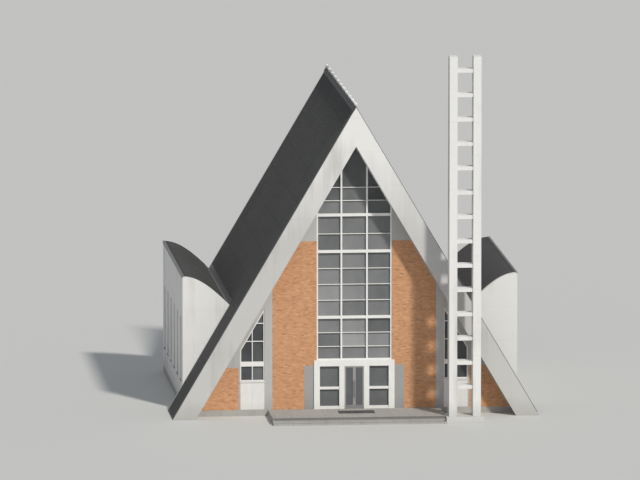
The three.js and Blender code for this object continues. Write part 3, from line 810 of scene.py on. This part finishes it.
# Panes above 11.5 m grow darker with height: painted shade from the leg across the top of the glass.
painted_shade_from, painted_shade_per_metre = 11.5, 0.075
wall_outlines = np.concatenate(wall_columns)
brightness = np.repeat(column_painted_light_tones, [len(column) for column in wall_columns])
top_painted_shade = np.clip(wall_outlines[:, 0, 1] - painted_shade_from, 0, None) * painted_shade_per_metre
wall_painted_light_tones = np.clip(pane_dice.normal(brightness - top_painted_shade, tone_spread), 0, 1)
glass_panes("glass_wall_panes", wall_outlines, wall_painted_light_tones, "glass_wall_glass")

WINDOW_APEX = 18.72
WINDOW_COLUMNS = [(6.47, 7.325), (7.335, 8.19)]
window_levels = [2.54, 3.76, 5.4, 6.7, 7.8]
# Side-window panes sit near the dark end, with faint painted reflection.
window_tone, window_spread = 0.03, 0.08
for side, sign in SIDES.items():
    columns = [clipped_panes(x0, x1, window_levels, WINDOW_APEX, sign) for x0, x1 in WINDOW_COLUMNS]
    outlines = np.concatenate(columns)
    tones = np.clip(pane_dice.normal(window_tone, window_spread, len(outlines)), 0, 1)
    glass_panes(f"side_window_panes_{side}", outlines, tones, f"side_window_glass_{side}")


# White frames: the glass wall, the door portal, the side windows and their thin bars, and the grey leaves.
# Steel and hardwood sections under satin paint, with a little dirt at their feet.
def paint_finish(name, base, dirt, roughness):
    """Satin paint with faint brush marks and dirt that gathers in patches."""
    material, tree, shader = new_finish(name, roughness)
    colour = tint(tree, base, place_noise(tree, (1, 1, 0.5), 3.0, detail=5), 0.35, dirt)
    colour = tint(tree, colour, effect(tree, GROUND_GRIME, Reach=1.1), 0.4, dirt)
    lay_on(tree, shader, colour, grain=50.0, relief=0.0012)
    return material


frame_paint = paint_finish("frame_paint", (0.86, 0.86, 0.84), (0.52, 0.50, 0.46), 0.42)
leaf_paint = paint_finish("leaf_paint", (0.34, 0.34, 0.335), (0.22, 0.22, 0.21), 0.38)
dress("glass_wall_frame", frame_paint)
dress("door_portal", frame_paint)
for side in SIDES:
    dress(f"side_window_frame_{side}", frame_paint)
    dress(f"door_leaf_{side}", leaf_paint)


def bevelled(piece, width):
    """Rounds a piece's sharp edges by a width."""
    bevel = piece.modifiers.new("edge", "BEVEL")
    bevel.width = width
    bevel.segments = 2
    bevel.limit_method = "ANGLE"
    return piece


def box_set(name, x, y, z, material, slot, body="root", edge=0.004):
    """Separate bars or slabs with eased edges as one piece.

    x, y and z are each (low, high), where low and high are a number, or a row of one for each bar."""
    lows, highs = (np.atleast_2d(np.stack(np.broadcast_arrays(x[i], y[i], z[i]), axis=-1)) for i in (0, 1))
    floor = [[0, 0, 0], [1, 0, 0], [1, 1, 0], [0, 1, 0]]
    pick = np.array(floor + [[x_end, y_end, 1] for x_end, y_end, _ in floor])
    vertices = np.where(pick[None] == 1, highs[:, None], lows[:, None])
    quads = [[0, 3, 2, 1], [4, 5, 6, 7], [0, 1, 5, 4], [1, 2, 6, 5], [2, 3, 7, 6], [3, 0, 4, 7]]
    return bevelled(mesh_piece(name, vertices, numbered(quads, len(lows), 8), material, body), edge)


def glazing_bars():
    """Thin bars across the glass wall between the thick transoms, as wide as the wall there."""
    low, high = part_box("glass_wall_frame")
    half_height, widest, bar_slope_top = 0.022, 2.62, 19.49
    levels = np.array(thin_bars)
    half = np.minimum(widest, (bar_slope_top - levels) / ROOF_SLOPE)
    y = (low[1] + 0.06, high[1] - 0.002)
    z = (levels - half_height, levels + half_height)
    return box_set("glazing_bars", (-half, half), y, z, frame_paint, "white_frame")


glazing_bars()


# Windows of the wings and the rear wall: white frames set into the openings, each with a mullion and bars.
# They are screwed into the reveals, in front of the glass, and stand on sloping cast sills.
def window_bars(centres, width, sill, head, levels, rim=0.06, bar=0.022):
    """Columns (from, to, bottom, top) of the rims, mullions and bars of windows at given centres."""
    half = width / 2
    shape = np.array([
        (-half, -half + rim, sill, head), (half - rim, half, sill, head),
        (-half, half, sill, sill + rim), (-half, half, head - rim, head),
        (-bar, bar, sill, head), *[(-half, half, z - bar, z + bar) for z in levels],
    ])
    along = np.array([1, 1, 0, 0])
    return (shape[None] + np.asarray(centres, float)[:, None, None] * along).reshape(-1, 4).T


def span(sign, near, far):
    """The low and the high x of a part between two distances from the axis, on one side."""
    return sorted((sign * near, sign * far))


def sills(name, centres, width, sill, face, outward, axis, material=paving, slot="concrete"):
    """Sloping sills: a wedge profile in outward distance and height, drawn along under each window."""
    profile = np.array([(-0.18, -0.004), (0.07, -0.03), (0.07, -0.085), (-0.18, -0.085)])
    half = width / 2 + 0.06
    along, across = (1, 0) if axis == "y" else (0, 1)
    ends = np.zeros((2, 4, 3))
    ends[..., across] = face + outward * profile[:, 0]
    ends[..., 2] = sill + profile[:, 1]
    ends[..., along] = [[-half], [half]]
    shifts = np.zeros((len(centres), 1, 3))
    shifts[:, 0, along] = centres
    pattern = bar_faces(2)
    if (outward > 0) == (axis == "y"):
        pattern = pattern[:, ::-1]
    faces = numbered(pattern, len(centres), 8)
    return bevelled(mesh_piece(name, ends.reshape(-1, 3) + shifts, faces, material), 0.006)


WING_FACE = 12.1
wing_window = {"width": 1.1, "sill": 2.0}
wing_start, wing_length, wing_count = -6.9, 18.15, 6
wing_centres = wing_start + (np.arange(wing_count) + 0.5) * wing_length / wing_count
for side, sign in SIDES.items():
    y0, y1, z0, z1 = window_bars(wing_centres, **wing_window, head=6.6, levels=(3.1, 4.25, 5.4))
    x = span(sign, near=11.84, far=11.93)
    box_set(f"wing_window_frames_{side}", x, (y0, y1), (z0, z1), frame_paint, "white_frame")
    sills(f"wing_sills_{side}", wing_centres, **wing_window, face=sign * WING_FACE, outward=sign, axis="y")

rear_centres = [-2.6, 0.0, 2.6]
rear_window = {"width": 0.9, "sill": 3.0}
x0, x1, z0, z1 = window_bars(rear_centres, **rear_window, head=11.0, levels=(4.6, 6.2, 7.8, 9.4))
box_set("rear_window_frames", (x0, x1), (11.28, 11.37), (z0, z1), frame_paint, "white_frame")
sills("rear_sills", rear_centres, **rear_window, face=11.55, outward=1, axis="x")


# Stone facings beside the doors: three grey slabs on each jamb, pinned 9 mm proud with open joints.
# Their grey is painted shade: it stands for the shade of the recess on the strip between the brick and the
# door frame.
def stone_finish():
    """Grey flamed granite, its grey painted shade of the recess: speckle between two tones, veins over it and
    a fine rough bump.
    """
    material, tree, shader = new_finish("recess_shade_stone", roughness=0.7)
    speckle = place_noise(tree, EVEN, 70.0, detail=5)
    colour = blend_colour(tree, speckle, (0.24, 0.24, 0.235), (0.46, 0.455, 0.44))
    veins = place_noise(tree, EVEN, 1.6, detail=5)
    colour = tint(tree, colour, veins, 0.4, (0.30, 0.295, 0.28))
    colour = tint(tree, colour, effect(tree, GROUND_GRIME, Reach=1.4), 0.4, (0.14, 0.135, 0.12))
    lay_on(tree, shader, colour, grain=110.0, relief=0.002)
    return material


recess_shade_stone = stone_finish()
RECESS_Y = -10.3
facing_depth = (RECESS_Y - 0.009, RECESS_Y + 0.001)
half_open_joint = 0.004
slab_levels = np.linspace(0.455, 3.595, 4)
slab_heights = (slab_levels[:-1] + half_open_joint, slab_levels[1:] - half_open_joint)
for side, sign in SIDES.items():
    x = span(sign, near=2.908, far=3.592)
    box_set(f"jamb_stones_{side}", x, facing_depth, slab_heights, recess_shade_stone, "concrete", edge=0.002)


# Apron boards: two flat white boards under each side window, screwed with a joint between over the front
# wall, whose grey is painted shade.
# A sloping white sill covers their top edge and throws the rain off them.
board_paint = paint_finish("board_paint", (0.78, 0.775, 0.755), (0.50, 0.48, 0.44), 0.55)
for side, sign in SIDES.items():
    x = np.transpose([span(sign, 6.47, 7.326), span(sign, 7.334, 8.19)])
    box_set(f"apron_boards_{side}", x, facing_depth, (0.47, 2.44), board_paint, "white_render", edge=0.002)
front_window = {"width": 1.74, "sill": 2.53, "face": RECESS_Y, "outward": -1, "axis": "x"}
sills("front_sills", [-7.33, 7.33], **front_window, material=frame_paint, slot="white_frame")


# Roof flashings: folded metal in the two valleys and drip edges along the outer rims of the wings.
# They are nailed under the seams and over the white walls, and carry the rain away from them.
def folded_strip(name, profile, y0, y1, material):
    """A thin sheet that follows a profile of (x, z) points from y0 to y1 along the building."""
    profile = np.asarray(profile, float)
    corners = len(profile)
    points = np.zeros((2, corners, 3))
    points[:, :, 0] = profile[:, 0]
    points[:, :, 1] = [[y0], [y1]]
    points[:, :, 2] = profile[:, 1]
    step = np.arange(corners - 1)
    faces = np.stack([step, step + 1, step + 1 + corners, step + corners], 1)
    piece = mesh_piece(name, points, faces, material)
    solidify = piece.modifiers.new("sheet", "SOLIDIFY")
    solidify.thickness = 0.006
    solidify.offset = 0
    return piece


flashing = metal_finish("flashing_metal", (0.30, 0.30, 0.295), (0.17, 0.17, 0.16))
ridge_z, valley_z = 22.4, 7.6
valley_x = ridge_z / ROOF_SLOPE - valley_z / ROOF_SLOPE
turn = np.array([0.0, 0.04, 0.08])
curve_x = valley_x + turn * (WING_FACE - valley_x)
curve_z = valley_z + WING_RISE * np.sin(turn * math.pi / 2)
upstand = [(valley_x - 0.2, valley_z + 0.34)]
valley_fold = np.concatenate([upstand, np.stack([curve_x, curve_z], 1)]) + (0, 0.014)
drip_fold = np.array([(11.96, 9.7), (12.118, 9.706), (12.118, 9.56), (12.132, 9.545)]) + (0, 0.01)
for side, sign in SIDES.items():
    folded_strip(f"valley_flashing_{side}", valley_fold * (sign, 1), y0=-6.88, y1=11.53, material=flashing)
    folded_strip(f"wing_drip_{side}", drip_fold * (sign, 1), y0=-7.19, y1=11.54, material=flashing)


# Door furniture: a kick plate at the foot of each leaf and a lock plate on its inner stile.
# Brushed steel, screwed to the leaves, so it turns with them.
def steel_finish():
    """Brushed steel: fine lines along the plate and faint finger marks."""
    material, tree, shader = new_finish("brushed_steel", roughness=0.34, metallic=1.0)
    lines = place_noise(tree, (1, 1, 60), 6.0, detail=3)
    colour = tint(tree, (0.56, 0.56, 0.55), lines, 0.5, (0.36, 0.36, 0.35))
    tree.links.new(colour, shader.inputs["Base Color"])
    vary_roughness(tree, shader, place_noise(tree, EVEN, 5.0, detail=3), amount=0.2, least=0.24)
    add_bump(tree, shader, lines, 0.0004)
    return material


brushed_steel = steel_finish()
leaf_front, bedded = -10.4, 0.001
kick_proud, lock_proud, lock_place, lock_half = 0.003, 0.006, 0.052, 0.02
plate_depth = ((leaf_front - kick_proud, leaf_front - lock_proud), leaf_front + bedded)
plate_heights = np.transpose([(0.475, 0.70), (1.10, 1.26)])
for side, sign in SIDES.items():
    lock_x = sign * lock_place
    x = np.transpose([span(sign, near=0.02, far=0.675), (lock_x - lock_half, lock_x + lock_half)])
    riding = {"slot": "door_metal", "body": f"door_{side}", "edge": 0.001}
    box_set(f"door_plates_{side}", x, plate_depth, plate_heights, brushed_steel, **riding)


# Step nosings and the entrance mat: dark ribbed aluminium let into the treads and laid before the doors.
# The mat lies outside the leaves' swing.
def ribbed_finish():
    """Dark anodised aluminium, dusty in patches, with a fine rough surface."""
    material, tree, shader = new_finish("ribbed_metal", roughness=0.7, metallic=0.4)
    dust = place_noise(tree, EVEN, 3.5, detail=5)
    colour = blend_colour(tree, dust, (0.04, 0.04, 0.04), (0.16, 0.155, 0.145))
    lay_on(tree, shader, colour, grain=200.0, relief=0.001)
    return material


ribbed_metal = ribbed_finish()
treads = [(-14.4, 0.45), (-14.7, 0.30), (-15.0, 0.15)]
from_edge, rib_pitch, rib_width = 0.02, 0.018, 0.012
rib_y, rib_z = np.array([(y + from_edge + i * rib_pitch, z) for y, z in treads for i in range(3)]).T
ribs = {"x": (-6.1, 6.1), "y": (rib_y, rib_y + rib_width), "z": (rib_z - 0.002, rib_z + 0.003)}
box_set("step_nosings", **ribs, material=ribbed_metal, slot="door_metal", edge=0.001)
mat_front, slat_pitch, slat_width, slat_count = -12.6, 0.04, 0.028, 34
slat_y = mat_front + np.arange(slat_count) * slat_pitch
slats = {"x": (-1.3, 1.3), "y": (slat_y, slat_y + slat_width), "z": (0.449, 0.456)}
box_set("entrance_mat", **slats, material=ribbed_metal, slot="door_metal", edge=0.001)


# Rain-water pipes: one under the rear end of each valley, with a tapered hopper on top.
# Grey metal pipes, each held to the rear wall by five collars on brackets.
pipe_metal = metal_finish("pipe_metal", (0.40, 0.40, 0.39), (0.24, 0.24, 0.23))
pipe = [
    (0.055, 0), (0.055, 6.5), (0.062, 6.52), (0.085, 6.62),
    (0.13, 6.85), (0.13, 7.02), (0.118, 7.02), (0.05, 6.8),
]
pipe_places = [(sign * 8.9, 11.665, 0.47) for sign in (-1, 1)]
turned("rain_pipes", pipe, pipe_places, axis=2, sides=16, material=pipe_metal)
collar = [(0.056, 0), (0.072, 0.004), (0.072, 0.046), (0.056, 0.05)]
collar_places = [(x, y, z) for x, y, _ in pipe_places for z in np.linspace(0.8, 6.5, 5)]
turned("pipe_collars", collar, collar_places, axis=2, sides=16, material=pipe_metal)
collar_x, _, collar_z = np.transpose(collar_places)
bracket_x = (collar_x - 0.012, collar_x + 0.012)
bracket_z = (collar_z + 0.008, collar_z + 0.042)
box_set("pipe_brackets", bracket_x, (11.549, 11.64), bracket_z, pipe_metal, "cap_metal", edge=0.002)
